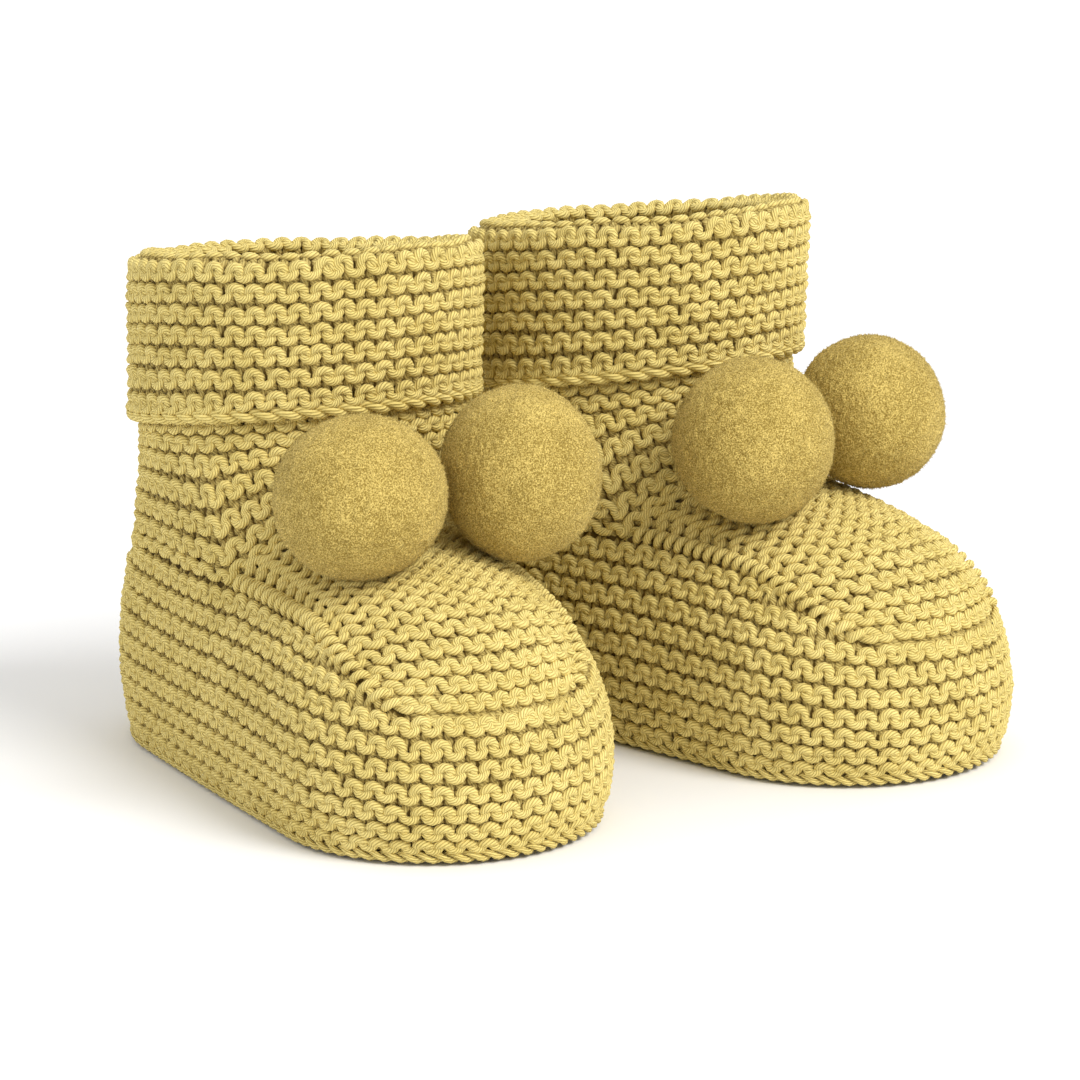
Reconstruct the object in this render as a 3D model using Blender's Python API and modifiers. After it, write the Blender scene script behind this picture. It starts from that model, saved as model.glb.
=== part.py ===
"""A pair of hand-knitted baby booties in garter stitch, with turned-down cuffs and pompoms.

Each bootie stands on its sole with its toe towards -Y. Every knitted panel is a shell of the
fabric's thickness, and neighbouring pieces keep a small clearance.
"""
import math

import bmesh
import bpy
from mathutils import Matrix, Vector

# ---------------------------------------------------------------- driving dimensions (metres)
PAIR_NAME = "baby_bootie_pair"

# where the two booties stand: the leg's axis, and how far each toe turns outwards
LEFT_LEG_X = -0.0270
RIGHT_LEG_X = 0.0270
LEFT_LEG_Y = 0.0
RIGHT_LEG_Y = -0.0016
LEFT_TOE_OUT = math.radians(7.0)
RIGHT_TOE_OUT = math.radians(9.5)

# the foot, seen from above: two round ends joined by straight sides
FOOT_RADIUS = 0.0239
HEEL_CENTRE_Y = 0.0072
TOE_CENTRE_Y = -0.0443
FABRIC = 0.0022
GAP = 0.0004
EDGE_CLEAR = 0.0018

# the sole
SOLE_THICKNESS = 0.0024
SOLE_INSET = 0.0022
SOLE_EDGE = 0.0006

# the foot band's profile, as (inward offset, height) control points of a cubic
BAND_BOTTOM = 0.0029
HEEL_PROFILE = ((0.0016, BAND_BOTTOM), (-0.0006, 0.010), (-0.0002, 0.019), (0.0020, 0.027))
SIDE_PROFILE = ((0.0012, BAND_BOTTOM), (-0.0010, 0.010), (-0.0004, 0.021), (0.0036, 0.029))
TOE_PROFILE = ((0.0010, BAND_BOTTOM), (-0.0012, 0.010), (0.0004, 0.020), (0.0068, 0.0262))
TOE_BLEND_FROM_Y = -0.012
HEEL_BLEND_FROM_Y = 0.0
# how far up those profiles the band's upper edge lies, at the sides and at the toe
BAND_TOP_AT_SIDE = 1.06
BAND_TOP_AT_TOE = 0.72
BAND_DROP_FROM_Y = -0.038
BAND_DROP_TO_Y = -0.064

# the instep, a strip from the ankle corners to the toe corners
ANKLE_CORNER_Y = -0.020
TOE_CORNER_Y = -0.0612
ANKLE_FRONT_Y = -0.0265
INSTEP_CROWN_SHARE = 0.82
INSTEP_TOE_RISE = 0.0080
INSTEP_TOE_LENGTH = 0.0090
INSTEP_ANKLE_RISE = 0.0040
INSTEP_ANKLE_START = 0.030
INSTEP_ANKLE_LENGTH = 0.020
INSTEP_CROWN_POWER = 2.4

# the leg and the cuff, round and tipped so that they rise towards the toe
LEG_RADIUS = 0.0224
LEG_RADIUS_UNDER_CUFF = 0.0220
LEG_TOP = 0.0682
LEG_WAIST = 0.048
UPPER_Y = 0.0
UPPER_LEAN = -0.060
UPPER_TIP = 0.150
TIP_FROM_Z = 0.027
TIP_TO_Z = 0.052
LEAN_FROM_Z = 0.030

CUFF_RADIUS = 0.0250
CUFF_INNER_RADIUS = 0.0228
CUFF_TOP = 0.0719
CUFF_BOTTOM = 0.0512
CAST_OFF_RADIUS = 0.0012

# sewing yarn and pompoms
SEAM_RADIUS = 0.0006
SEAM_CLEAR = 0.0011
STEM_RADIUS = 0.0009
TIE_RADIUS = 0.0009
TIE_LENGTH = 0.0032
POMPOM_GAP = 0.0003

# how finely each piece is divided
AROUND_FOOT = 44
AROUND_LEG = 36
BAND_ROWS = 5
LEG_ROWS = 5
INSTEP_ACROSS = 12
INSTEP_ALONG = 11
POMPOM_SEGMENTS = 20
POMPOM_RINGS = 11

KNIT_COLOUR = (0.66, 0.46, 0.13, 1.0)
SEAM_COLOUR = (0.60, 0.41, 0.11, 1.0)
POMPOM_COLOUR = (0.62, 0.45, 0.13, 1.0)
KNIT_ROUGHNESS = 0.9

# pompoms: side, centre in the bootie's frame, and radii across, front to back and upright
POMPOMS = {
    "left": (
        ("outer", (-0.0089, -0.0398, 0.0445), (0.0122, 0.0117, 0.0112)),
        ("inner", (0.0152, -0.0388, 0.0452), (0.0112, 0.0117, 0.0122)),
    ),
    "right": (
        ("inner", (-0.0121, -0.0380, 0.0452), (0.0117, 0.0117, 0.0117)),
        ("outer", (0.0119, -0.0374, 0.0456), (0.0110, 0.0112, 0.0111)),
    ),
}
ANCHOR_X = 0.0036
ANCHOR_Z = 0.0405


# ---------------------------------------------------------------- scene helpers
def clear_scene():
    for old in list(bpy.data.objects):
        bpy.data.objects.remove(old, do_unlink=True)


def make_material(name, colour):
    material = bpy.data.materials.new(name)
    material.use_nodes = True
    shader = material.node_tree.nodes["Principled BSDF"]
    shader.inputs["Base Color"].default_value = colour
    shader.inputs["Roughness"].default_value = KNIT_ROUGHNESS
    shader.inputs["Metallic"].default_value = 0.0
    return material


def add_object(name, data, parent, colour):
    piece = bpy.data.objects.new(name, data)
    bpy.data.collections[PAIR_NAME].objects.link(piece)
    piece.parent = parent
    data.materials.append(make_material(name + "_yarn", colour))
    return piece


def loft_mesh(name, rings, close_rings, close_profile):
    """Quads between successive rings of points. Rings run so that the faces look outwards."""
    mesh = bpy.data.meshes.new(name)
    shape = bmesh.new()
    grid = [[shape.verts.new(point) for point in ring] for ring in rings]
    ring_pairs = list(zip(grid[:-1], grid[1:]))
    if close_profile:
        ring_pairs.append((grid[-1], grid[0]))
    for lower, upper in ring_pairs:
        steps = len(lower) if close_rings else len(lower) - 1
        for index in range(steps):
            after = (index + 1) % len(lower)
            shape.faces.new((lower[index], lower[after], upper[after], upper[index]))
    shape.to_mesh(mesh)
    shape.free()
    mesh.shade_smooth()
    return mesh


def add_shell(name, rings, close_rings, parent):
    """A knitted panel: its outer face is the loft, and the fabric lies inside it."""
    piece = add_object(name, loft_mesh(name, rings, close_rings, False), parent, KNIT_COLOUR)
    solid = piece.modifiers.new("fabric", "SOLIDIFY")
    solid.thickness = FABRIC
    solid.offset = -1.0
    solid.use_even_offset = True
    solid.use_rim = True
    return piece


def add_yarn(name, points, radius, closed, parent, bevel_resolution=1):
    """A seam, cord or stem: a round yarn along a line of points."""
    curve = bpy.data.curves.new(name, "CURVE")
    curve.dimensions = "3D"
    curve.bevel_depth = radius
    curve.bevel_resolution = bevel_resolution
    curve.use_fill_caps = True
    line = curve.splines.new("POLY")
    line.points.add(len(points) - 1)
    for slot, point in zip(line.points, points):
        slot.co = (point[0], point[1], point[2], 1.0)
    line.use_cyclic_u = closed
    return add_object(name, curve, parent, SEAM_COLOUR)


# ---------------------------------------------------------------- the bootie's surfaces
def smooth_step(amount):
    amount = min(1.0, max(0.0, amount))
    return amount * amount * (3.0 - 2.0 * amount)


def cubic(points, amount):
    rest = 1.0 - amount
    weights = (rest ** 3, 3 * rest * rest * amount, 3 * rest * amount * amount, amount ** 3)
    offset = sum(weight * point[0] for weight, point in zip(weights, points))
    height = sum(weight * point[1] for weight, point in zip(weights, points))
    return offset, height


def outline_length():
    return 2 * math.pi * FOOT_RADIUS + 2 * (HEEL_CENTRE_Y - TOE_CENTRE_Y)


def outline(distance):
    """The foot's outline from above: its centre line's y and its outward direction.

    The distance runs from the back of the heel along the +X side, the toe and the -X side.
    """
    quarter = math.pi * FOOT_RADIUS / 2
    side = HEEL_CENTRE_Y - TOE_CENTRE_Y
    distance = distance % outline_length()
    if distance < quarter:
        angle = math.pi / 2 - distance / FOOT_RADIUS
        centre_y = HEEL_CENTRE_Y
    elif distance < quarter + side:
        angle = 0.0
        centre_y = HEEL_CENTRE_Y - (distance - quarter)
    elif distance < 3 * quarter + side:
        angle = -(distance - quarter - side) / FOOT_RADIUS
        centre_y = TOE_CENTRE_Y
    elif distance < 3 * quarter + 2 * side:
        angle = -math.pi
        centre_y = TOE_CENTRE_Y + (distance - 3 * quarter - side)
    else:
        angle = -math.pi - (distance - 3 * quarter - 2 * side) / FOOT_RADIUS
        centre_y = HEEL_CENTRE_Y
    return centre_y, math.cos(angle), math.sin(angle)


def offset_outline(distance, inset, height):
    centre_y, out_x, out_y = outline(distance)
    reach = FOOT_RADIUS - inset
    return Vector((reach * out_x, centre_y + reach * out_y, height))


def foot_point(distance, rise, outward=0.0):
    """A point of the foot's side: rise is the share of the way up the profile from the sole."""
    centre_y, _, out_y = outline(distance)
    y = centre_y + FOOT_RADIUS * out_y
    toe_tip = TOE_CENTRE_Y - FOOT_RADIUS
    heel_tip = HEEL_CENTRE_Y + FOOT_RADIUS
    toe = smooth_step((TOE_BLEND_FROM_Y - y) / (TOE_BLEND_FROM_Y - toe_tip))
    heel = smooth_step((y - HEEL_BLEND_FROM_Y) / (heel_tip - HEEL_BLEND_FROM_Y))
    shares = ((heel, HEEL_PROFILE), (1.0 - heel - toe, SIDE_PROFILE), (toe, TOE_PROFILE))
    offset = sum(share * cubic(profile, rise)[0] for share, profile in shares)
    height = sum(share * cubic(profile, rise)[1] for share, profile in shares)
    return offset_outline(distance, offset - outward, height)


def band_top(distance):
    """How far up the profile the foot band's upper edge lies: it drops towards the toe."""
    centre_y, _, out_y = outline(distance)
    y = centre_y + FOOT_RADIUS * out_y
    drop = (BAND_DROP_FROM_Y - y) / (BAND_DROP_FROM_Y - BAND_DROP_TO_Y)
    drop = min(1.0, max(0.0, drop)) ** 2
    return BAND_TOP_AT_SIDE + (BAND_TOP_AT_TOE - BAND_TOP_AT_SIDE) * drop


def band_point(distance, share, outward=0.0):
    """A point of the foot band: share is 0 at the sole and 1 at the band's upper edge."""
    return foot_point(distance, share * band_top(distance), outward)


def band_side_distance(y):
    """How far along the outline the band's upper edge on the +X side reaches a given y."""
    low = math.pi * FOOT_RADIUS / 2
    high = outline_length() / 2
    for _ in range(40):
        middle = (low + high) / 2
        if band_point(middle, 1.0).y > y:
            low = middle
        else:
            high = middle
    return (low + high) / 2


def crown_point(along):
    """The instep's middle line: along runs from 0 at the ankle to 1 at the band on the toe."""
    toe_tip = TOE_CENTRE_Y - FOOT_RADIUS
    toe_inset, toe_height = TOE_PROFILE[3]
    if along > INSTEP_CROWN_SHARE:
        down = (along - INSTEP_CROWN_SHARE) / (1.0 - INSTEP_CROWN_SHARE)
        return foot_point(outline_length() / 2, 1.0 + (BAND_TOP_AT_TOE - 1.0) * down)
    y = ANKLE_FRONT_Y + (toe_tip + toe_inset - ANKLE_FRONT_Y) * along / INSTEP_CROWN_SHARE
    back = y - toe_tip
    rise = INSTEP_TOE_RISE * (1.0 - math.exp(-(back - toe_inset) / INSTEP_TOE_LENGTH))
    ankle = INSTEP_ANKLE_RISE * smooth_step((back - INSTEP_ANKLE_START) / INSTEP_ANKLE_LENGTH)
    return Vector((0.0, y, toe_height + rise + ankle))


def instep_point(across, along):
    """across runs from -1 to 1, and along from 0 at the ankle to 1 at the toe."""
    edge_y = ANKLE_CORNER_Y + (TOE_CORNER_Y - ANKLE_CORNER_Y) * along
    edge = band_point(band_side_distance(edge_y), 1.0)
    crown = crown_point(along)
    y = edge.y + (crown.y - edge.y) * (1.0 - across * across)
    height = edge.z + (crown.z - edge.z) * (1.0 - abs(across) ** INSTEP_CROWN_POWER)
    return Vector((across * edge.x, y, height))


def upper_point(angle, radius, height):
    """A point of the leg or cuff: angle 90 degrees is the back, and -90 the front."""
    x = radius * math.cos(angle)
    y = radius * math.sin(angle)
    tip = UPPER_TIP * min(1.0, max(0.0, (height - TIP_FROM_Z) / (TIP_TO_Z - TIP_FROM_Z)))
    lean = UPPER_LEAN * (height - LEAN_FROM_Z)
    return Vector((x, UPPER_Y + y + lean, height - tip * y))


def ankle_edge(turn):
    """The leg's lower edge: turn runs from 0 at the back, through +X, to 1 at the back again."""
    mirror = 1.0
    half = turn * 2.0
    if half > 1.0:
        half = 2.0 - half
        mirror = -1.0
    corner_distance = band_side_distance(ANKLE_CORNER_Y)
    corner_share = 0.66
    if half < corner_share:
        point = band_point(corner_distance * half / corner_share, 1.0)
    else:
        point = instep_point((1.0 - half) / (1.0 - corner_share), 0.0)
    return Vector((mirror * point.x, point.y, point.z))


def leg_point(turn, rise):
    """rise is 0 at the leg's lower edge and 1 at its top."""
    low = ankle_edge(turn)
    angle = math.pi / 2 - 2 * math.pi * turn
    waist_share = 0.45
    waist = upper_point(angle, LEG_RADIUS, LEG_WAIST)
    top = upper_point(angle, LEG_RADIUS_UNDER_CUFF, LEG_TOP)
    if rise < waist_share:
        return low.lerp(waist, smooth_blend(rise / waist_share))
    return waist.lerp(top, (rise - waist_share) / (1.0 - waist_share))


def smooth_blend(amount):
    """Half way between a straight and an eased blend, which rounds the ankle a little."""
    return (amount + smooth_step(amount)) / 2


# ---------------------------------------------------------------- the pieces
def add_sole(side, parent):
    """A flat knitted sole with a slightly rounded edge."""
    heights = (
        (SOLE_EDGE, 0.0),
        (0.0, SOLE_EDGE),
        (0.0, SOLE_THICKNESS - SOLE_EDGE),
        (SOLE_EDGE, SOLE_THICKNESS),
    )
    mesh = bpy.data.meshes.new(side + "_sole")
    shape = bmesh.new()
    length = outline_length()
    rings = []
    for inset, height in heights:
        ring = []
        for index in range(AROUND_FOOT):
            distance = -length * index / AROUND_FOOT
            ring.append(shape.verts.new(offset_outline(distance, SOLE_INSET + inset, height)))
        rings.append(ring)
    for lower, upper in zip(rings[:-1], rings[1:]):
        for index in range(AROUND_FOOT):
            after = (index + 1) % AROUND_FOOT
            shape.faces.new((lower[index], lower[after], upper[after], upper[index]))
    shape.faces.new(list(reversed(rings[0])))
    shape.faces.new(rings[-1])
    shape.to_mesh(mesh)
    shape.free()
    return add_object(side + "_sole", mesh, parent, KNIT_COLOUR)


def add_foot_band(side, parent):
    length = outline_length()
    rings = []
    for row in range(BAND_ROWS + 1):
        rise = row / BAND_ROWS
        ring = [band_point(-length * index / AROUND_FOOT, rise) for index in range(AROUND_FOOT)]
        rings.append(ring)
    return add_shell(side + "_foot_band", rings, True, parent)


def add_instep(side, parent):
    start = 2.0 * GAP / (ANKLE_CORNER_Y - TOE_CORNER_Y)
    end = 1.0 - 3.5 * GAP / (ANKLE_CORNER_Y - TOE_CORNER_Y)
    rings = []
    for row in range(INSTEP_ALONG + 1):
        along = start + (end - start) * row / INSTEP_ALONG
        reach = 1.0 - EDGE_CLEAR / instep_point(1.0, along).x
        ring = []
        for index in range(INSTEP_ACROSS + 1):
            across = reach * (1.0 - 2.0 * index / INSTEP_ACROSS)
            ring.append(instep_point(across, along))
        rings.append(ring)
    return add_shell(side + "_instep", rings, False, parent)


def add_leg(side, parent):
    start = 0.03
    rings = []
    for row in range(LEG_ROWS + 1):
        rise = start + (1.0 - start) * row / LEG_ROWS
        rings.append([leg_point(1.0 - index / AROUND_LEG, rise) for index in range(AROUND_LEG)])
    return add_shell(side + "_leg", rings, True, parent)


def add_cuff(side, parent):
    """The turned-down cuff, folded over the leg's top edge."""
    fold = CUFF_TOP - LEG_TOP
    under_fold = LEG_TOP + GAP
    inside = LEG_RADIUS_UNDER_CUFF - FABRIC
    profile = (
        (CUFF_RADIUS - 0.0003, CUFF_BOTTOM),
        (CUFF_RADIUS, CUFF_BOTTOM + 0.0008),
        (CUFF_RADIUS, LEG_TOP - 0.2 * fold),
        (CUFF_RADIUS - 0.0004, LEG_TOP + 0.4 * fold),
        (CUFF_RADIUS - 0.0015, LEG_TOP + 0.8 * fold),
        (CUFF_RADIUS - 0.0030, CUFF_TOP),
        (inside + 0.0007, LEG_TOP + 0.8 * fold),
        (inside - 0.0002, LEG_TOP + 0.4 * fold),
        (inside - 0.0003, under_fold),
        (CUFF_INNER_RADIUS, under_fold),
        (CUFF_INNER_RADIUS, CUFF_BOTTOM),
    )
    rings = []
    for radius, height in profile:
        ring = []
        for index in range(AROUND_LEG):
            angle = math.pi / 2 + 2 * math.pi * index / AROUND_LEG
            ring.append(upper_point(angle, radius, height))
        rings.append(ring)
    mesh = loft_mesh(side + "_cuff", rings, True, True)
    return add_object(side + "_cuff", mesh, parent, KNIT_COLOUR)


def add_cast_off_edge(side, parent):
    """The chain of cast-off stitches along the cuff's lower edge."""
    height = CUFF_BOTTOM - CAST_OFF_RADIUS - 1.5 * GAP
    radius = CUFF_RADIUS - 0.0009
    points = []
    for index in range(AROUND_LEG):
        points.append(upper_point(2 * math.pi * index / AROUND_LEG, radius, height))
    return add_yarn(side + "_cast_off_edge", points, CAST_OFF_RADIUS, True, parent)


def add_sole_seam(side, parent):
    """The overcast seam that joins the sole to the foot band."""
    length = outline_length()
    height = BAND_BOTTOM - SEAM_RADIUS - 0.0006
    inset = SOLE_INSET - SEAM_RADIUS - 2 * GAP
    points = []
    for index in range(AROUND_FOOT):
        points.append(offset_outline(length * index / AROUND_FOOT, inset, height))
    return add_yarn(side + "_sole_seam", points, SEAM_RADIUS, True, parent)


def add_instep_seam(side, parent):
    """The picked-up edge from one ankle corner round the toe to the other."""
    corner = band_side_distance(ANKLE_CORNER_Y)
    length = outline_length()
    steps = 30
    points = []
    for index in range(steps + 1):
        distance = corner + (length - 2 * corner) * index / steps
        edge = band_point(distance, 1.0)
        _, out_x, out_y = outline(distance)
        outward = Vector((out_x, out_y, 1.0)).normalized()
        points.append(edge + outward * SEAM_CLEAR)
    return add_yarn(side + "_instep_seam", points, SEAM_RADIUS, False, parent)


def add_back_seam(side, parent):
    """The seam that closes the leg and the foot band at the back."""
    points = []
    for row in range(6):
        points.append(band_point(0.0, 0.1 + 0.9 * row / 5, SEAM_CLEAR))
    for row in range(1, 5):
        points.append(leg_point(0.0, 0.44 * row / 4) + Vector((0.0, SEAM_CLEAR, 0.0)))
    return add_yarn(side + "_back_seam", points, SEAM_RADIUS, False, parent)


def anchor_point(which, side):
    """Where a pompom's yarn comes out of the fabric, in front of the ankle."""
    outwards = -1.0 if side == "left" else 1.0
    sign = outwards if which == "outer" else -outwards
    front = leg_point(0.5, 0.12)
    return Vector((sign * ANCHOR_X, front.y - TIE_RADIUS - 2 * GAP, ANCHOR_Z))


def add_pompom(side, which, centre, radii, parent):
    """A trimmed ball of yarn ends, on a short stem from its tie at the ankle."""
    name = side + "_" + which + "_pompom"
    mesh = bpy.data.meshes.new(name)
    shape = bmesh.new()
    bmesh.ops.create_uvsphere(shape, u_segments=POMPOM_SEGMENTS, v_segments=POMPOM_RINGS, radius=1.0)
    bmesh.ops.transform(shape, matrix=Matrix.Diagonal((*radii, 1.0)), verts=shape.verts)
    shape.to_mesh(mesh)
    shape.free()
    mesh.shade_smooth()
    ball = add_object(name, mesh, parent, POMPOM_COLOUR)
    ball.location = centre

    anchor = anchor_point(which, side)
    centre = Vector(centre)
    heading = (centre - anchor).normalized()
    reach = 1.0 / math.sqrt(sum((part / radius) ** 2 for part, radius in zip(heading, radii)))
    stem_start = anchor + heading * (TIE_RADIUS + GAP)
    stem_end = centre - heading * (reach + POMPOM_GAP)
    add_yarn(name + "_stem", (stem_start, stem_end), STEM_RADIUS, False, parent)

    half = Vector((0.0, 0.0, TIE_LENGTH / 2))
    add_yarn(name + "_tie", (anchor - half, anchor + half), TIE_RADIUS, False, parent)


def add_bootie(side, leg_x, leg_y, toe_turn):
    stand = bpy.data.objects.new(side + "_stand", None)
    bpy.data.collections[PAIR_NAME].objects.link(stand)
    stand.location = (leg_x, leg_y, 0.0)
    stand.rotation_euler = (0.0, 0.0, toe_turn)
    add_sole(side, stand)
    add_foot_band(side, stand)
    add_instep(side, stand)
    add_leg(side, stand)
    add_cuff(side, stand)
    add_cast_off_edge(side, stand)
    add_sole_seam(side, stand)
    add_instep_seam(side, stand)
    add_back_seam(side, stand)
    for which, centre, radii in POMPOMS[side]:
        add_pompom(side, which, centre, radii, stand)
    return stand


def centre_on_floor(stands):
    """Slide both booties so that the middle of the pair's footprint is at the origin."""
    bpy.context.view_layer.update()
    graph = bpy.context.evaluated_depsgraph_get()
    corners = []
    for piece in bpy.data.collections[PAIR_NAME].objects:
        if piece.type == "EMPTY":
            continue
        solid = piece.evaluated_get(graph)
        mesh = solid.to_mesh()
        corners.extend(solid.matrix_world @ vertex.co for vertex in mesh.vertices)
        solid.to_mesh_clear()
    middle_x = (min(c.x for c in corners) + max(c.x for c in corners)) / 2
    middle_y = (min(c.y for c in corners) + max(c.y for c in corners)) / 2
    for stand in stands:
        stand.location.x -= middle_x
        stand.location.y -= middle_y


def main():
    clear_scene()
    collection = bpy.data.collections.new(PAIR_NAME)
    bpy.context.scene.collection.children.link(collection)
    left = add_bootie("left", LEFT_LEG_X, LEFT_LEG_Y, -LEFT_TOE_OUT)
    right = add_bootie("right", RIGHT_LEG_X, RIGHT_LEG_Y, RIGHT_TOE_OUT)
    centre_on_floor((left, right))


main()
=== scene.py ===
"""The look of a pair of hand-knitted garter stitch baby booties with pompoms.

Every ridge is knitted from real loops of yarn, laid on the booties' surfaces. Lengths are metres.
"""

import math

import bmesh
import bpy
import numpy as np
from mathutils import Matrix, Vector


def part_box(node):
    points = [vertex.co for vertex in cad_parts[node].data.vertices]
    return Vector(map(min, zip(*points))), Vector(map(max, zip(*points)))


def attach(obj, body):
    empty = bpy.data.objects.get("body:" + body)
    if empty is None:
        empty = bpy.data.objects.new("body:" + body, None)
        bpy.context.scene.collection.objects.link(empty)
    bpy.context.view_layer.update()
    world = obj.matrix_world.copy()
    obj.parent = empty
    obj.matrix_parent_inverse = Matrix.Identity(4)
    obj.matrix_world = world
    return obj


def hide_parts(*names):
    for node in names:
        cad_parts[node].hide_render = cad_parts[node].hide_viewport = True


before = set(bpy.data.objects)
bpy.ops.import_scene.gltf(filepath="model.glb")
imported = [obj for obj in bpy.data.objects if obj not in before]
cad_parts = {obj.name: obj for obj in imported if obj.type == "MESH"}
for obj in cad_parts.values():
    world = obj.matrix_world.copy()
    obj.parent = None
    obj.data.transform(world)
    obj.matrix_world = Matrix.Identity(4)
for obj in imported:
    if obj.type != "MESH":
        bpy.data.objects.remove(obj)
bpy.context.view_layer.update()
TAU = 2.0 * math.pi
UPWARD = np.array([0.0, 0.0, 1.0])

# ---------------------------------------------------------------- where the booties stand
TOE_OUT = {"left": math.radians(-7.0), "right": math.radians(9.5)}
SIDES = ("left", "right")

# ---------------------------------------------------------------- the foot and leg, as in CAD
FOOT_RADIUS = 0.0239
HEEL_CENTRE_Y = 0.0072
TOE_CENTRE_Y = -0.0443
SIDE_LENGTH = HEEL_CENTRE_Y - TOE_CENTRE_Y
OUTLINE_LENGTH = TAU * FOOT_RADIUS + 2.0 * SIDE_LENGTH
TOE_TIP_Y = TOE_CENTRE_Y - FOOT_RADIUS
HEEL_TIP_Y = HEEL_CENTRE_Y + FOOT_RADIUS

BAND_BOTTOM = 0.0019
# each profile: how far in from the outline, and how high, at a cubic curve's four points
HEEL_PROFILE = ((0.0014, BAND_BOTTOM), (-0.0006, 0.010), (-0.0002, 0.019), (0.0020, 0.027))
ANKLE_PROFILE = ((0.0010, BAND_BOTTOM), (-0.0010, 0.010), (-0.0004, 0.020), (0.0016, 0.0285))
ANKLE_BLEND_FROM_Y = -0.032
ANKLE_BLEND_LENGTH = 0.024
SIDE_PROFILE = ((0.0010, BAND_BOTTOM), (-0.0010, 0.010), (-0.0004, 0.021), (0.0036, 0.029))
TOE_PROFILE = ((0.0018, BAND_BOTTOM), (-0.0014, 0.0078), (0.0004, 0.020), (0.0068, 0.0262))
TOE_BLEND_FROM_Y = -0.012
BAND_TOP_AT_SIDE = 1.06
BAND_TOP_AT_TOE = 0.72
BAND_DROP_FROM_Y = -0.038
BAND_DROP_TO_Y = -0.064
BAND_EDGE_SAMPLES = 600

SOLE_INSET = 0.0032
SOLE_TOE_INSET = 0.0008
SOLE_LENGTH = SIDE_LENGTH + 2.0 * (FOOT_RADIUS - SOLE_INSET) - SOLE_TOE_INSET

ANKLE_CORNER_Y = -0.020
TOE_CORNER_Y = -0.0612
ANKLE_FRONT_Y = -0.0265
CROWN_SHARE = 0.82
BELOW_TOE = 1.5
INSTEP_TOE_RISE = 0.0110
INSTEP_TOE_LENGTH = 0.0113
INSTEP_ANKLE_RISE = 0.0020
INSTEP_ANKLE_START = 0.030
INSTEP_ANKLE_LENGTH = 0.020
INSTEP_CROWN_POWER = 2.9

LEG_RADIUS = 0.0235
LEG_RADIUS_UNDER_CUFF = 0.0222
LEG_WAIST = 0.0475
LEG_TOP = 0.0662
UPPER_LEAN = -0.060
UPPER_TIP = 0.150
TIP_FROM_Z = 0.027
TIP_TO_Z = 0.052
LEAN_FROM_Z = 0.030
CUFF_RADIUS = 0.0250
CUFF_TOP = 0.0719
CUFF_BOTTOM = 0.0508
CUFF_LIFT = 0.0013
LIFT_TOWARD = math.radians(140.0)
LIFT_FROM_Z = 0.049
LIFT_TO_Z = 0.057
LIFT_SPREAD = 0.45
LIFT_FADE = 1.3
# shares of the way round to the instep's corner, and of the leg's height at its waist
ANKLE_CORNER_SHARE = 0.66
WAIST_SHARE = 0.46
BELOW_ANKLE = -0.2
ABOVE_LEG = 1.2
NARROWING = 4.0

# ---------------------------------------------------------------- the yarn and its stitches
YARN_RADIUS = 0.00063
LOOP_SWING = 1.24
LOOP_REACH = 1.07
LOOP_DEPTH = 0.00070
LOOP_POINT = 0.06
MID_DEPTH = LOOP_DEPTH + YARN_RADIUS
# the loop's height through the fabric: weights of the cosines of 0, 1, 2 and 3 times its turn
LOOP_WAVES = (0.0, 0.88, 0.0, 0.12)
STITCH_SAMPLES = 16
YARN_SIDES = 8
SHOWN_DETAIL = (STITCH_SAMPLES, YARN_SIDES)
HIDDEN_DETAIL = (12, 6)
LEG_HIDDEN_FROM_ROW = 15
PLIES = 8
PLY_TWIST = 2100.0
STITCH_JITTER = 0.065
ROW_WANDER = 0.10
HEIGHT_WANDER = 0.00012
WANDER_STITCHES = 25.0
WANDER_ROWS = 19.0
PLUMPNESS = 0.05
PLUMP_STITCHES = 6.25
PLUMP_ROWS = 9.0
WAVES = 5
WAVE_TURNS = 7
WAVE_SCALE = 3.0
SURFACE_STEP = 0.02
END_DIVE = 0.0011
END_LENGTH = 0.7
# where the instep's outward direction is guided, near the toe's corners
GUIDE_HEIGHT = 0.014
GUIDE_FROM = 0.018
GUIDE_LENGTH = 0.010
GUIDE_SHARE = 0.8
# the sheet inside each panel, coloured dark as painted shade in the gaps between the yarns, marked
# in its yarn coordinates by the flag
CORE_HALF = 0.00015
CORE_LINES = 17
CORE_FLAG = -2.0
# how many rows short of each panel's first and last row its painted-shade sheet ends
CORE_SHORT = {
    "cuff": (0.8, 0.5),
    "leg": (0.0, 0.0),
    "foot_band": (0.3, 0.0),
    "instep": (0.3, 0.3),
    "sole": (0.8, 0.8),
}
SEEDS = {"cuff": 100, "leg": 200, "foot_band": 300, "instep": 400, "sole": 500, "pompom": 20}
# the share of a row that has to fit above it, and the fewest stitches across the sole
ROW_ROOM = 0.1
FEWEST_STITCHES = 3
# each yarn's strip in the layer to bake in, and how far one yarn's pattern is from the next one's
STRIP_FROM = 0.04
STRIP_WIDTH = 0.92
BAKE_FROM = 0.002
BAKE_WIDTH = 0.996
YARN_SHIFT = 0.37
MOST_TRIANGLES = 190000

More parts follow.
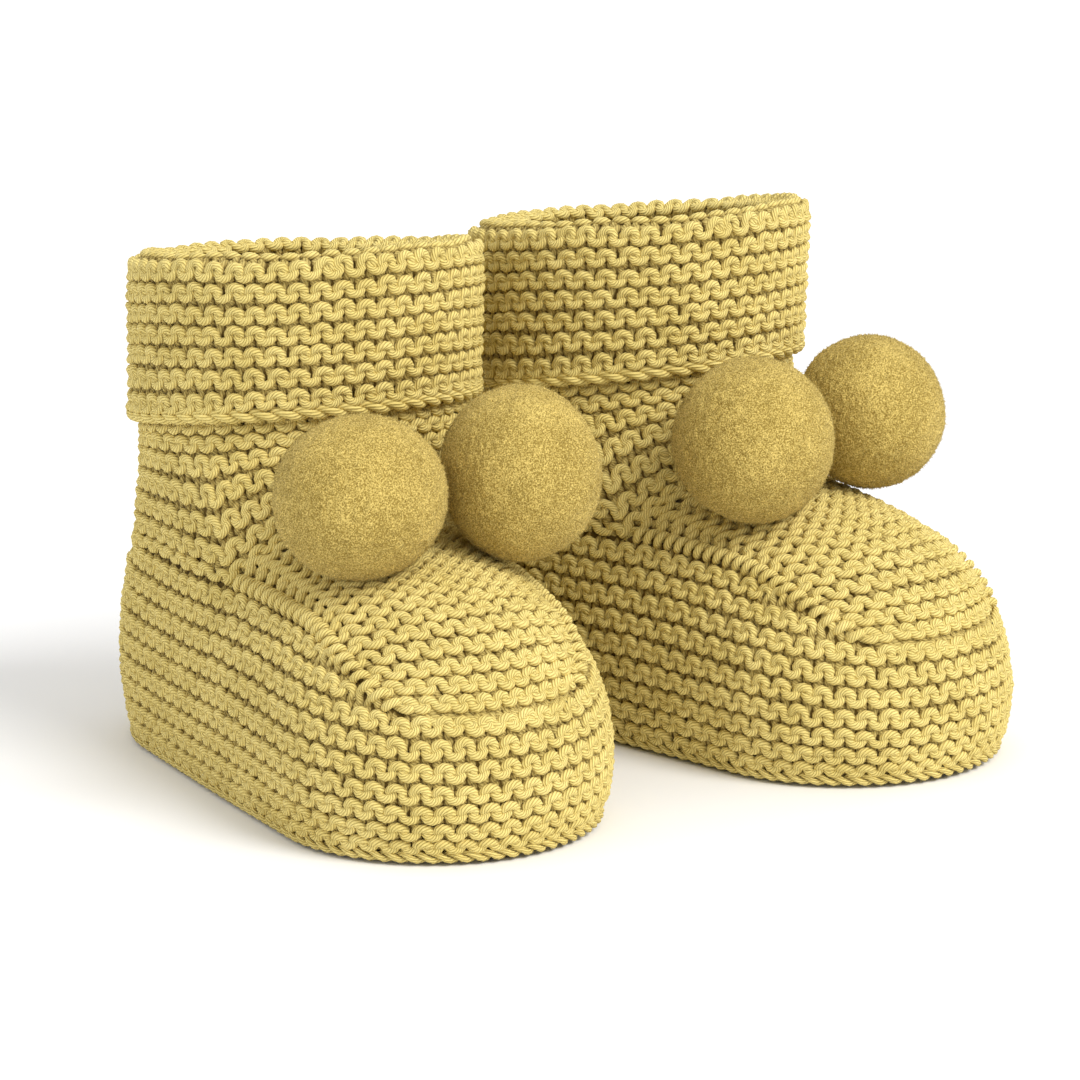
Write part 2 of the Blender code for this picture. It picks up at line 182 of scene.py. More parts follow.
# ---------------------------------------------------------------- seams, edges and pompoms
PLAIT_COIL = 0.00046
PLAIT_RADIUS = 0.00062
PLAIT_HEIGHT = 0.0500
PLAIT_SAMPLES = 14
SEAM_COIL = 0.00042
SEAM_RADIUS = 0.00045
SOLE_SEAM_INSET = 0.0009
SOLE_SEAM_HEIGHT = 0.0012
SOLE_SEAM_TURNS = 52.0
SOLE_SEAM_SAMPLES = 1500
EDGE_SUNK = 0.0008
EDGE_COIL = 0.00078
EDGE_RADIUS = 0.00060
EDGE_TURNS = 23.0
EDGE_FROM = 0.01
EDGE_TO = 0.995
EDGE_SAMPLES = 420
EDGE_ASIDE = 0.97
EDGE_TILT = 0.8
EDGE_END_DIVE = 0.0015
EDGE_END_SHARE = 0.035
BACK_SEAM_DEPTH = 0.0006
BACK_SEAM_TURNS = 18.0
BACK_SEAM_FROM = 0.08
BACK_SEAM_TO = 0.80
BACK_SEAM_SAMPLES = 150
BACK_SEAM_OVERLAP = 10
STEM_START = 0.0017
STEM_END = 0.0003
STEM_COIL = 0.00040
STEM_RADIUS = 0.00042
STEM_TURNS = 1.5
STEM_SAMPLES = 24
TIE_HALF = 0.0015

POMPOM_CLEARANCE = 0.00015
POMPOM_SUBDIVISIONS = 6
POMPOM_LUMPS = 0.018
POMPOM_GRAIN = 0.00010
LUMP_WAVES = 12
LUMP_TURNS = 3.0
LUMP_SCALE = 6.0
POMPOM_FIBRES = 9000
FIBRE_LENGTH = (0.0003, 0.0007)
FIBRE_RADIUS = 0.00006
FIBRE_SPREAD = 0.45
FIBRE_ROOT = 0.3
FIBRE_FACES = np.array([[0, 2, 1], [0, 1, 3], [1, 2, 3], [2, 0, 3]])
# the ball and its fibres in the layer to bake in: the ball below, a cell for each fibre above
BALL_WIDTH = 0.9
BALL_HEIGHT = 0.8
FIBRE_CELLS = 96
FIBRE_CORNERS = np.array([[0.2, 0.2], [0.8, 0.2], [0.5, 0.6], [0.5, 0.9]])
FIBRES_FROM = 0.81
FIBRES_HEIGHT = 0.18

CUFF_STITCHES = 50
CUFF_ROWS = 18
CUFF_PITCH = 0.00293
LEG_STITCHES = 48
LEG_RIDGES = 12.5
BAND_STITCHES = 79
BAND_RIDGES = {"heel": 8.0, "side": 9.0, "toe": 6.6}
INSTEP_STITCHES = 12
INSTEP_RIDGES = 16
SOLE_STITCHES = 13
SOLE_RIDGES = 32

# ---------------------------------------------------------------- colours and materials
# the yarn's colour runs from dark to light by its own uneven streaks and patches, and by painted
# shade in the grooves between plies
YARN_LIGHT = (0.950, 0.775, 0.285, 1.0)
YARN_DARK = (0.485, 0.340, 0.040, 1.0)
# painted shade: the colour of the sheet in the middle of each panel
PAINTED_CORE_SHADE = (0.120, 0.075, 0.012, 1.0)
POMPOM_LIGHT = (0.780, 0.590, 0.175, 1.0)
POMPOM_DARK = (0.310, 0.210, 0.038, 1.0)
SHEEN_TINT = (1.0, 0.86, 0.45, 1.0)
SHEEN_ROUGHNESS = 0.5
SPECULAR = 0.25
NOISE_ROUGHNESS = 0.6
# painted shade in the valleys: the yarn is darker the deeper it lies inside the fabric, away from
# both its faces
VALLEY_SHADE = (0.20, 0.135, 0.030, 1.0)
UNSHADED = (1.0, 1.0, 1.0, 1.0)
VALLEY_FROM = -0.12
VALLEY_TO = 0.72
# the yarn's streaks along its plies, and what each pattern adds to its tone: the streaks and
# patches are the yarn's own uneven tone, and the ply pattern is painted shade in the grooves
# between plies
STREAKS_PER_PLY = 3.5
STREAKS_PER_METRE = 500.0
PATCH_SCALE = 160.0
PLY_GROOVE_SHADE = 0.55
PLY_GROOVE_SHADE_POWER = 0.5
STREAK_TONE = 0.62
PATCH_TONE = 0.5
PATCH_TONE_SHIFT = -0.22
YARN_TONE_FROM = 0.25
YARN_TONE_TO = 1.0
PLY_BUMP_POWER = 0.7
STREAK_BUMP = 0.8
# the pompoms' grain
PILE_GRAIN_SCALE = 4800.0
PILE_CLUMP_SCALE = 900.0
PILE_PATCH_SCALE = 130.0
GRAIN_TONE = 0.85
CLUMP_TONE = 0.15
PILE_PATCH_TONE = 0.2
PILE_PATCH_SHIFT = -0.10
PILE_TONE_FROM = 0.40
PILE_TONE_TO = 0.65

# ---------------------------------------------------------------- how it is seen
CAMERA_PLACE = np.array([-0.36374, -0.56088, 0.18372])
CAMERA_AZIMUTH = math.radians(-32.946)
CAMERA_PITCH = math.radians(13.0)
CAMERA_ROLL = math.radians(-0.471)
CAMERA_LENS = 162.23
CAMERA_SENSOR = 36.0
CAMERA_NEAREST = 0.01
# the key light's place by the camera's back, right and the world's up, and its spread in degrees
KEY_BACK = 0.70
KEY_RIGHT = 0.80
KEY_UP = 0.85
KEY_SPREAD = 30.0
KEY_STRENGTH = 2.1
WORLD_COLOUR = (1.0, 1.0, 1.0, 1.0)
WORLD_STRENGTH = 0.85
FLOOR_HALF = 3.0
FLOOR_COLOUR = (0.93, 0.93, 0.93, 1.0)
FLOOR_ROUGHNESS = 0.9


# ---------------------------------------------------------------- small maths
def smooth_step(amount):
    """0 below 0, 1 above 1, and a smooth rise between."""
    amount = np.clip(amount, 0.0, 1.0)
    return amount * amount * (3.0 - 2.0 * amount)


def unit(vectors):
    return vectors / np.maximum(np.linalg.norm(vectors, axis=-1, keepdims=True), 1e-12)


def cubic(points, amount):
    """A cubic curve's offset and height."""
    rest = 1.0 - amount
    weights = (rest ** 3, 3 * rest * rest * amount, 3 * rest * amount ** 2, amount ** 3)
    offset = sum(weight * point[0] for weight, point in zip(weights, points))
    height = sum(weight * point[1] for weight, point in zip(weights, points))
    return offset, height


def wavy(u, v, seed):
    """Smooth, repeatable unevenness between about -1 and 1."""
    rng = np.random.default_rng(seed)
    total = np.zeros(np.broadcast(u, v).shape)
    for _ in range(WAVES):
        turns = rng.integers(1, WAVE_TURNS, 2) * rng.choice((-1, 1), 2)
        phase = rng.uniform(0.0, TAU)
        total = total + np.sin(TAU * (turns[0] * u + turns[1] * v) + phase)
    return total / WAVE_SCALE


# ---------------------------------------------------------------- the foot's surfaces
def outline(distance):
    """The foot's outline: centre line y and outward direction at a distance from the heel."""
    quarter = math.pi * FOOT_RADIUS / 2.0
    side = SIDE_LENGTH
    along = np.mod(distance, OUTLINE_LENGTH)
    stages = [along < quarter, along < quarter + side, along < 3 * quarter + side,
              along < 3 * quarter + 2 * side]
    angle = np.select(
        stages,
        [math.pi / 2 - along / FOOT_RADIUS, 0.0 * along, -(along - quarter - side) / FOOT_RADIUS,
         0.0 * along - math.pi],
        -math.pi - (along - 3 * quarter - 2 * side) / FOOT_RADIUS)
    centre_y = np.select(
        stages,
        [0.0 * along + HEEL_CENTRE_Y, HEEL_CENTRE_Y - (along - quarter), 0.0 * along + TOE_CENTRE_Y,
         TOE_CENTRE_Y + (along - 3 * quarter - side)],
        0.0 * along + HEEL_CENTRE_Y)
    return centre_y, np.cos(angle), np.sin(angle)


def outline_y(distance):
    """The outline's y at a distance from the heel."""
    centre_y, _, out_y = outline(distance)
    return centre_y + FOOT_RADIUS * out_y


def foot_point(distance, rise):
    """A point of the foot's side: rise is the share of the way up its profile."""
    centre_y, out_x, out_y = outline(distance)
    y = centre_y + FOOT_RADIUS * out_y
    toe = smooth_step((TOE_BLEND_FROM_Y - y) / (TOE_BLEND_FROM_Y - TOE_TIP_Y))
    heel = smooth_step(y / HEEL_TIP_Y)
    offset = 0.0
    height = 0.0
    ankle = smooth_step((y - ANKLE_BLEND_FROM_Y) / ANKLE_BLEND_LENGTH) * (1 - heel - toe)
    shares = (heel, ankle, 1 - heel - ankle - toe, toe)
    for share, profile in zip(shares, (HEEL_PROFILE, ANKLE_PROFILE, SIDE_PROFILE, TOE_PROFILE)):
        part_offset, part_height = cubic(profile, rise)
        offset = offset + share * part_offset
        height = height + share * part_height
    reach = FOOT_RADIUS - offset
    return np.stack([reach * out_x, centre_y + reach * out_y, height], -1)


def band_drop(distance):
    """How far the foot band's upper edge has come down towards the toe, from 0 to 1."""
    drop = (BAND_DROP_FROM_Y - outline_y(distance)) / (BAND_DROP_FROM_Y - BAND_DROP_TO_Y)
    return np.clip(drop, 0.0, 1.0) ** 2


def band_top(distance):
    """The foot band's upper edge, as a share of the way up the profile."""
    return BAND_TOP_AT_SIDE + (BAND_TOP_AT_TOE - BAND_TOP_AT_SIDE) * band_drop(distance)


def band_rows_at(distance):
    """How many rows the foot band has: fewer at the heel and fewest at the toe."""
    heel = smooth_step(outline_y(distance) / HEEL_TIP_Y)
    drop = band_drop(distance)
    ridges = BAND_RIDGES["side"] + (BAND_RIDGES["heel"] - BAND_RIDGES["side"]) * heel
    ridges = ridges + (BAND_RIDGES["toe"] - BAND_RIDGES["side"]) * drop
    return 2.0 * ridges


def band_surface(stitch, row):
    """The foot band: stitches run round the foot from the heel."""
    distance = OUTLINE_LENGTH * stitch / BAND_STITCHES
    rise = band_top(distance) * row / band_rows_at(distance)
    return foot_point(distance, rise)


EDGE_DISTANCES = np.linspace(math.pi * FOOT_RADIUS / 2, OUTLINE_LENGTH / 2, BAND_EDGE_SAMPLES)
EDGE_POINTS = foot_point(EDGE_DISTANCES, band_top(EDGE_DISTANCES))


def edge_at(y):
    """The foot band's upper edge on the +X side, and its distance, where it reaches a given y."""
    order = -EDGE_POINTS[:, 1]
    x = np.interp(-y, order, EDGE_POINTS[:, 0])
    z = np.interp(-y, order, EDGE_POINTS[:, 2])
    return x, z, np.interp(-y, order, EDGE_DISTANCES)


def crown_line(along):
    """The instep's middle line, from the ankle down to the foot band on the toe."""
    inset, height = TOE_PROFILE[3]
    y = ANKLE_FRONT_Y + (TOE_TIP_Y + inset - ANKLE_FRONT_Y) * along / CROWN_SHARE
    back = y - TOE_TIP_Y
    rise = INSTEP_TOE_RISE * (1.0 - np.exp(-(back - inset) / INSTEP_TOE_LENGTH))
    ankle = INSTEP_ANKLE_RISE * smooth_step((back - INSTEP_ANKLE_START) / INSTEP_ANKLE_LENGTH)
    down = np.clip((along - CROWN_SHARE) / (1.0 - CROWN_SHARE), 0.0, BELOW_TOE)
    offset, low = cubic(TOE_PROFILE, 1.0 + (BAND_TOP_AT_TOE - 1.0) * down)
    steep = along > CROWN_SHARE
    return np.where(steep, TOE_TIP_Y + offset, y), np.where(steep, low, height + rise + ankle)


def instep_at(across, along):
    """The instep: across runs from -1 to 1, and along from the ankle to the toe."""
    edge_y = ANKLE_CORNER_Y + (TOE_CORNER_Y - ANKLE_CORNER_Y) * along
    edge_x, edge_z, _ = edge_at(edge_y)
    crown_y, crown_z = crown_line(along)
    y = edge_y + (crown_y - edge_y) * (1.0 - across ** 2)
    crown_share = 1.0 - np.abs(across) ** INSTEP_CROWN_POWER
    z = edge_z + (crown_z - edge_z) * crown_share
    return np.stack([across * edge_x, y, z], -1)


def instep_surface(stitch, row):
    """The instep: rows run across it, from the ankle down."""
    return instep_at(2.0 * stitch / INSTEP_STITCHES - 1.0, row / (2.0 * INSTEP_RIDGES))


def upper_point(angle, radius, height):
    """A point of the leg or cuff, which are tipped so that they rise towards the toe."""
    x = radius * np.cos(angle)
    y = radius * np.sin(angle)
    raised = smooth_step((height - LIFT_FROM_Z) / (LIFT_TO_Z - LIFT_FROM_Z))
    facing = smooth_step((np.cos(angle - LIFT_TOWARD) + LIFT_SPREAD) / LIFT_FADE)
    height = height + CUFF_LIFT * raised * facing
    tip = UPPER_TIP * np.clip((height - TIP_FROM_Z) / (TIP_TO_Z - TIP_FROM_Z), 0.0, 1.0)
    lean = UPPER_LEAN * (height - LEAN_FROM_Z)
    return np.stack([x, y + lean, height - tip * y], -1)


def ankle_edge(turn):
    """The leg's lower edge: turn runs from 0 at the back, through +X, to 1 at the back again."""
    half = np.mod(turn, 1.0) * 2.0
    mirror = np.where(half > 1.0, -1.0, 1.0)
    half = np.where(half > 1.0, 2.0 - half, half)
    corner = float(edge_at(ANKLE_CORNER_Y)[2])
    side_distance = corner * np.clip(half / ANKLE_CORNER_SHARE, 0.0, 1.0)
    side = foot_point(side_distance, band_top(side_distance))
    front = instep_at(np.clip((1.0 - half) / (1.0 - ANKLE_CORNER_SHARE), 0.0, 1.0), 0.0 * half)
    point = np.where((half < ANKLE_CORNER_SHARE)[..., None], side, front)
    return point * np.stack([mirror, 1.0 + 0.0 * mirror, 1.0 + 0.0 * mirror], -1)


def leg_at(turn, rise):
    """A point of the leg: from its lower edge to the waist, and straight up from there."""
    low = ankle_edge(turn)
    angle = math.pi / 2 - TAU * turn
    waist = upper_point(angle, LEG_RADIUS + 0.0 * turn, LEG_WAIST + 0.0 * turn)
    lower = np.clip(rise / WAIST_SHARE, BELOW_ANKLE, 1.0)
    eased = (lower + lower * lower * (3.0 - 2.0 * lower)) / 2.0
    below = low + (waist - low) * eased[..., None]
    upper = np.clip((rise - WAIST_SHARE) / (1.0 - WAIST_SHARE), 0.0, ABOVE_LEG)
    narrow = smooth_step(upper * NARROWING)
    radius = LEG_RADIUS + (LEG_RADIUS_UNDER_CUFF - LEG_RADIUS) * narrow
    above = upper_point(angle, radius, LEG_WAIST + (LEG_TOP - LEG_WAIST) * upper)
    return np.where((rise < WAIST_SHARE)[..., None], below, above)


def leg_surface(stitch, row):
    """The leg: rows run round it, from its lower edge up."""
    return leg_at(stitch / LEG_STITCHES, row / (2.0 * LEG_RIDGES))


def cuff_profile(length):
    """The cuff's outer face at a length along its middle: up, over the fold and down inside."""
    inner = LEG_RADIUS_UNDER_CUFF - 2.0 * MID_DEPTH
    bend = (CUFF_RADIUS - inner) / 2.0
    middle_bend = bend - MID_DEPTH
    wall = CUFF_TOP - bend - CUFF_BOTTOM
    turn = np.clip((length - wall) / middle_bend, 0.0, math.pi)
    down = np.clip(length - wall - math.pi * middle_bend, 0.0, None)
    radius = (CUFF_RADIUS - bend) + bend * np.cos(turn)
    height = CUFF_BOTTOM + np.minimum(length, wall) + bend * np.sin(turn) - down
    return radius, height


def cuff_surface(stitch, row):
    """The cuff: rows run round it, from its cast-off edge up and over the fold."""
    radius, height = cuff_profile(row * CUFF_PITCH / 2.0)
    return upper_point(math.pi / 2 - TAU * stitch / CUFF_STITCHES, radius, height)


def sole_surface(stitch, row):
    """The underside: rows run across the foot."""
    y = HEEL_TIP_Y - SOLE_INSET - SOLE_LENGTH * row / (2.0 * SOLE_RIDGES)
    x = (0.5 - stitch / SOLE_STITCHES) * 2.0 * (FOOT_RADIUS - SOLE_INSET)
    return np.stack([x, y + 0.0 * x, 0.0 * x + 0.0 * y], -1)


def sole_half_width(row):
    """The sole's width at a row, as a share of its greatest width."""
    y = HEEL_TIP_Y - SOLE_INSET - SOLE_LENGTH * row / (2.0 * SOLE_RIDGES)
    radius = FOOT_RADIUS - SOLE_INSET
    past = np.maximum(np.maximum(y - HEEL_CENTRE_Y, TOE_CENTRE_Y + SOLE_TOE_INSET - y), 0.0)
    return np.sqrt(np.maximum(radius ** 2 - past ** 2, 0.0)) / radius


def sole_oval(share, row):
    """The underside out to its rounded outline: share runs from 0 to 1 across it."""
    return sole_surface(SOLE_STITCHES * (0.5 + (share - 0.5) * sole_half_width(row)), row)


# ---------------------------------------------------------------- knitting
def steadied(point, outward):
    """The instep's outward direction, kept sound at the toe's corners."""
    past_toe = np.minimum(point[..., 1] - TOE_CENTRE_Y, 0.0)
    guide = unit(np.stack([point[..., 0], past_toe, point[..., 2] - GUIDE_HEIGHT], -1))
    agrees = (outward * guide).sum(-1, keepdims=True)
    corner = smooth_step((np.abs(point[..., :1]) - past_toe[..., None] - GUIDE_FROM) / GUIDE_LENGTH)
    return unit(outward * np.sign(agrees) * (1.0 - GUIDE_SHARE * corner) + guide * corner)


def lay_on(surface, stitch, row, height):
    """Points at a height above a surface's middle, and the surface's outward direction there."""
    point = surface(stitch, row)
    across = surface(stitch + SURFACE_STEP, row) - surface(stitch - SURFACE_STEP, row)
    up = surface(stitch, row + SURFACE_STEP) - surface(stitch, row - SURFACE_STEP)
    outward = unit(np.cross(up, across))
    if surface is instep_surface:
        outward = steadied(point, outward)
    return point + outward * (height - MID_DEPTH)[..., None], outward


def row_path(row, stitches, first, seed, samples):
    """One row's loops as stitch and row coordinates and height, from the first stitch on."""
    turn = np.linspace(0.0, TAU * stitches, stitches * samples, endpoint=False)
    which = np.floor(turn / TAU).astype(int)
    rng = np.random.default_rng(seed)
    ease = np.sin(turn / 2.0) ** 2
    shift = STITCH_JITTER * rng.standard_normal(stitches)[which] * ease
    reach = LOOP_REACH * (1.0 + STITCH_JITTER * rng.standard_normal(stitches)[which] * ease)
    across = first + (turn + LOOP_SWING * np.sin(2.0 * turn)) / TAU + shift
    phase = turn + math.pi
    up = row + reach * (np.cos(phase) + LOOP_POINT * np.cos(3.0 * phase)) / (1.0 + LOOP_POINT)
    waves = sum(w * np.cos(n * phase) for n, w in enumerate(LOOP_WAVES))
    side = 1.0 if row % 2 == 0 else -1.0
    return across, up, side * LOOP_DEPTH * waves


def tucked(across, first, stitches):
    """How far an open row's yarn goes under at its two ends."""
    from_end = np.minimum(across - first, first + stitches - across)
    return END_DIVE * (1.0 - smooth_step(from_end / END_LENGTH))


def path_frame(points, outward, closed):
    """At each point of a line, the outward direction square to it, and the sideways one."""
    if closed:
        ahead = unit(np.roll(points, -1, 0) - np.roll(points, 1, 0))
    else:
        ahead = unit(np.gradient(points, axis=0))
    lift = unit(outward - (outward * ahead).sum(-1, keepdims=True) * ahead)
    return lift, np.cross(ahead, lift)


def tube(points, outward, radius, closed, sides, height):
    """A yarn's vertices, quads and per-corner lengthwise and around coordinates.

    Then come its end caps, its length, and how near the fabric's face each vertex lies, from
    -1 at the back to 1. Height is the middle of the yarn above the middle of the fabric.
    """
    count = len(points)
    lift, aside = path_frame(points, outward, closed)
    angle = np.arange(sides) * TAU / sides
    radius = np.broadcast_to(radius, (count,))
    outwards = np.cos(angle)[None, :, None] * lift[:, None]
    ring = outwards + np.sin(angle)[None, :, None] * aside[:, None]
    verts = (points[:, None] + ring * radius[:, None, None]).reshape(-1, 3)
    spans = count if closed else count - 1
    here = np.arange(spans)
    after = (here + 1) % count
    left = np.arange(sides)
    right = (left + 1) % sides
    quads = np.stack([
        here[:, None] * sides + left, after[:, None] * sides + left,
        after[:, None] * sides + right, here[:, None] * sides + right], -1).reshape(-1, 4)
    step = np.linalg.norm(np.roll(points, -1, 0) - points, axis=1)
    length = np.concatenate([[0.0], np.cumsum(step)])
    low = np.broadcast_to((left / sides)[None], (spans, sides))
    high = low + 1.0 / sides
    start = np.broadcast_to(length[:spans][:, None], (spans, sides))
    end = np.broadcast_to(length[1:spans + 1][:, None], (spans, sides))
    uv = np.stack([np.stack([start, low], -1), np.stack([end, low], -1),
                   np.stack([end, high], -1), np.stack([start, high], -1)], 2).reshape(-1, 2)
    caps = []
    if not closed:
        caps = [list(range(sides)), list(range((count - 1) * sides, count * sides))[::-1]]
    level = np.broadcast_to(height, (count,))[:, None] + radius[:, None] * np.cos(angle)
    return verts, quads, uv, caps, length[spans], level.reshape(-1) / MID_DEPTH


def mesh_from(name, points, corners, starts, layers):
    """A smooth mesh from its points, its faces' corners in a row, and its layers of coordinates."""
    mesh = bpy.data.meshes.new(name)
    mesh.vertices.add(len(points))
    mesh.vertices.foreach_set("co", points.astype(np.float32).reshape(-1))
    mesh.loops.add(len(corners))
    mesh.loops.foreach_set("vertex_index", corners.astype(np.int32))
    mesh.polygons.add(len(starts))
    mesh.polygons.foreach_set("loop_start", starts.astype(np.int32))
    mesh.update(calc_edges=True)
    for layer, values in layers.items():
        made = mesh.uv_layers.new(name=layer)
        made.data.foreach_set("uv", np.concatenate(values).astype(np.float32).reshape(-1))
    mesh.shade_smooth()
    return mesh


def build_mesh(name, tubes):
    """One mesh from many yarns, with the yarn coordinates and a strip for each yarn to bake in."""
    verts = []
    loops = []
    sizes = []
    yarn_uv = []
    bake_uv = []
    levels = []
    base = 0
    strips = len(tubes)
    for index, (points, quads, uv, caps, length, level) in enumerate(tubes):
        levels.append(level)
        verts.append(points)
        loops.append((quads + base).reshape(-1))
        sizes.append(np.full(len(quads), 4))
        # the painted-shade sheet in a panel's middle is the one yarn with no length
        is_shade_core = length == 0.0
        up = (index + STRIP_FROM + STRIP_WIDTH * uv[:, 1]) / strips
        strip = np.stack([uv[:, 0] / (length or 1.0), up], -1)
        bake_uv.append(strip * (BAKE_WIDTH, 1.0) + (BAKE_FROM, 0.0))
        uv = uv * 0.0 + (0.0, CORE_FLAG) if is_shade_core else uv + (YARN_SHIFT * index, 0.0)
        yarn_uv.append(uv)
        for cap in caps:
            loops.append(np.array(cap) + base)
            sizes.append(np.array([len(cap)]))
            end = 0 if cap[0] == 0 else -1
            yarn_uv.append(np.repeat(uv[end][None], len(cap), 0))
            bake_uv.append(np.repeat(strip[end][None], len(cap), 0))
        base += len(points)
    starts = np.concatenate([[0], np.cumsum(np.concatenate(sizes))[:-1]])
    mesh = mesh_from(name, np.concatenate(verts), np.concatenate(loops), starts,
                     {"yarn": yarn_uv, "OFBake": bake_uv})
    # how near the fabric's face each vertex lies, which the yarn material turns into painted valley
    # shade
    depth = mesh.attributes.new("face_level", "FLOAT", "POINT")
    depth.data.foreach_set("value", np.concatenate(levels).astype(np.float32))
    return mesh


def knit_row(surface, row, stitches, first, closed, seed, detail=SHOWN_DETAIL):
    """One row of stitches: a single yarn that loops along a surface."""
    samples, sides = detail
    across, up, level = row_path(row, stitches, first, seed + row, samples)
    height = level if closed else level - tucked(across, first, stitches)
    wander = wavy(across / WANDER_STITCHES, up / WANDER_ROWS, seed)
    points, outward = lay_on(surface, across, up + ROW_WANDER * wander,
                             height + HEIGHT_WANDER * wander)
    uneven = wavy(across / PLUMP_STITCHES, up / PLUMP_ROWS, seed + 1)
    plump = YARN_RADIUS * (1.0 + PLUMPNESS * uneven)
    return tube(points, outward, plump, closed, sides, level)


def core(surface, stitches, low, high, closed):
    """A thin sheet in the middle of a panel, coloured dark as painted shade in the gaps between the
    yarns, which also stops light from coming through it.
    """
    columns = 2 * stitches + (0 if closed else 1)
    lines = CORE_LINES
    across = np.linspace(0.0, stitches, columns, endpoint=not closed)
    share = np.linspace(0.0, 1.0, lines)
    rows = low + (high(across) - low)[:, None] * share
    spread = np.broadcast_to(across[:, None], rows.shape)
    layers = [lay_on(surface, spread, rows, rows * 0.0 + side * CORE_HALF)[0] for side in (1, -1)]
    verts = np.concatenate([layer.reshape(-1, 3) for layer in layers])
    spans = columns if closed else columns - 1
    here = np.arange(spans)
    after = (here + 1) % columns
    line = np.arange(lines - 1)
    one = here[:, None] * lines + line
    other = after[:, None] * lines + line
    outer = np.stack([one, one + 1, other + 1, other], -1).reshape(-1, 4)[:, ::-1]
    inner = outer[:, ::-1] + columns * lines
    count = columns * lines
    near, far = here * lines, after * lines
    bottom = np.stack([near, far, far + count, near + count], -1)[:, ::-1]
    top = bottom[:, ::-1] + lines - 1
    faces = [outer, inner, bottom, top]
    if not closed:
        first = np.stack([line, line + 1, line + 1 + count, line + count], -1)
        last = first[:, ::-1] + (columns - 1) * lines
        faces += [first, last]
    quads = np.concatenate(faces)
    place = np.stack([spread / stitches, np.broadcast_to(share, rows.shape)], -1).reshape(-1, 2)
    place = np.concatenate([place * (1.0, 0.5), place * (1.0, 0.5) + (0.0, 0.5)])
    uv = place[quads].reshape(-1, 2)
    return verts, quads, uv, [], 0.0, np.zeros(len(verts))


def runs(wanted):
    """The first stitch and length of each unbroken run round a closed row."""
    count = len(wanted)
    if wanted.all():
        return [(0, count, True)]
    start = int(np.argmin(wanted))
    found = []
    length = 0
    for step in range(1, count + 1):
        if wanted[(start + step) % count]:
            length += 1
        elif length:
            found.append(((start + step - length) % count, length, False))
            length = 0
    return found


# ---------------------------------------------------------------- seams and edges
def twisted(points, outward, strands, coil, radius, turns, closed, sides=6):
    """A cord of a few strands wound round a line."""
    lift, aside = path_frame(points, outward, closed)
    along = np.linspace(0.0, 1.0, len(points), endpoint=not closed)
    made = []
    for strand in range(strands):
        angle = TAU * (turns * along + strand / strands)
        around = np.cos(angle)[:, None] * lift + np.sin(angle)[:, None] * aside
        made.append(tube(points + coil * around, around, radius, closed, sides, 2.0 * radius))
    return made


def cast_off():
    """The plait of cast-off stitches along the cuff's lower edge: one strand shows per stitch."""
    turn = np.linspace(0.0, 1.0, CUFF_STITCHES * PLAIT_SAMPLES, endpoint=False)
    angle = math.pi / 2 - TAU * turn
    radius = CUFF_RADIUS - PLAIT_COIL - PLAIT_RADIUS
    points = upper_point(angle, radius, PLAIT_HEIGHT + 0.0 * turn)
    outward = np.stack([np.cos(angle), np.sin(angle), 0.0 * angle], -1)
    return twisted(points, outward, 2, PLAIT_COIL, PLAIT_RADIUS, CUFF_STITCHES / 2, True,
                   YARN_SIDES)


def sole_seam():
    """The overcast yarn round the sole's edge."""
    distance = np.linspace(0.0, OUTLINE_LENGTH, SOLE_SEAM_SAMPLES, endpoint=False)
    _, out_x, out_y = outline(distance)
    outward = np.stack([out_x, out_y, 0.0 * out_x], -1)
    points = foot_point(distance, 0.0 * distance) - SOLE_SEAM_INSET * outward
    points[:, 2] = SOLE_SEAM_HEIGHT
    return twisted(points, outward, 2, SEAM_COIL, SEAM_RADIUS, SOLE_SEAM_TURNS, True)


def instep_seam():
    """The edge stitches along the instep, up one side and down the other."""
    made = []
    for side in (-1.0, 1.0):
        along = np.linspace(EDGE_FROM, EDGE_TO, EDGE_SAMPLES)
        from_end = np.minimum(along, 1.0 - along)
        dive = EDGE_END_DIVE * (1.0 - smooth_step(from_end / EDGE_END_SHARE))
        stitch = (side * EDGE_ASIDE + 1.0) * INSTEP_STITCHES / 2.0 + 0.0 * along
        edge, outward = lay_on(instep_surface, stitch, 2.0 * INSTEP_RIDGES * along,
                               MID_DEPTH - EDGE_SUNK - dive)
        outward = unit(outward + np.array([EDGE_TILT * side, 0.0, 0.0]))
        made += twisted(edge, outward, 1, EDGE_COIL, EDGE_RADIUS, side * EDGE_TURNS, False,
                        YARN_SIDES)
    return made


def back_seam():
    """The seam up the middle of the back, from the sole to inside the cuff."""
    rise = np.linspace(BACK_SEAM_FROM, 1.0, BACK_SEAM_SAMPLES)
    low = foot_point(0.0 * rise, band_top(0.0 * rise) * rise)
    high = leg_at(0.0 * rise, rise * BACK_SEAM_TO)
    points = np.concatenate([low[:-1], high[BACK_SEAM_OVERLAP:]])
    outward = np.broadcast_to(np.array([0.0, 1.0, 0.0]), points.shape)
    points = points - outward * BACK_SEAM_DEPTH
    return twisted(points, outward, 2, SEAM_COIL, SEAM_RADIUS, BACK_SEAM_TURNS, False)


# ---------------------------------------------------------------- panels
def level_core(part, surface, stitches, rows, closed):
    """The painted-shade sheet of a panel that has the same number of rows at every stitch."""
    low, short = CORE_SHORT[part]
    return core(surface, stitches, low, lambda stitch: 0.0 * stitch + (rows - short), closed)


def cuff_rows():
    made = [level_core("cuff", cuff_surface, CUFF_STITCHES, CUFF_ROWS, True)]
    for row in range(CUFF_ROWS):
        made.append(knit_row(cuff_surface, row, CUFF_STITCHES, 0.0, True, SEEDS["cuff"]))
    return made


def leg_rows():
    rows = int(2 * LEG_RIDGES)
    made = [level_core("leg", leg_surface, LEG_STITCHES, rows, True)]
    for row in range(rows):
        detail = HIDDEN_DETAIL if row > LEG_HIDDEN_FROM_ROW else SHOWN_DETAIL
        made.append(knit_row(leg_surface, row, LEG_STITCHES, 0.0, True, SEEDS["leg"], detail))
    return made


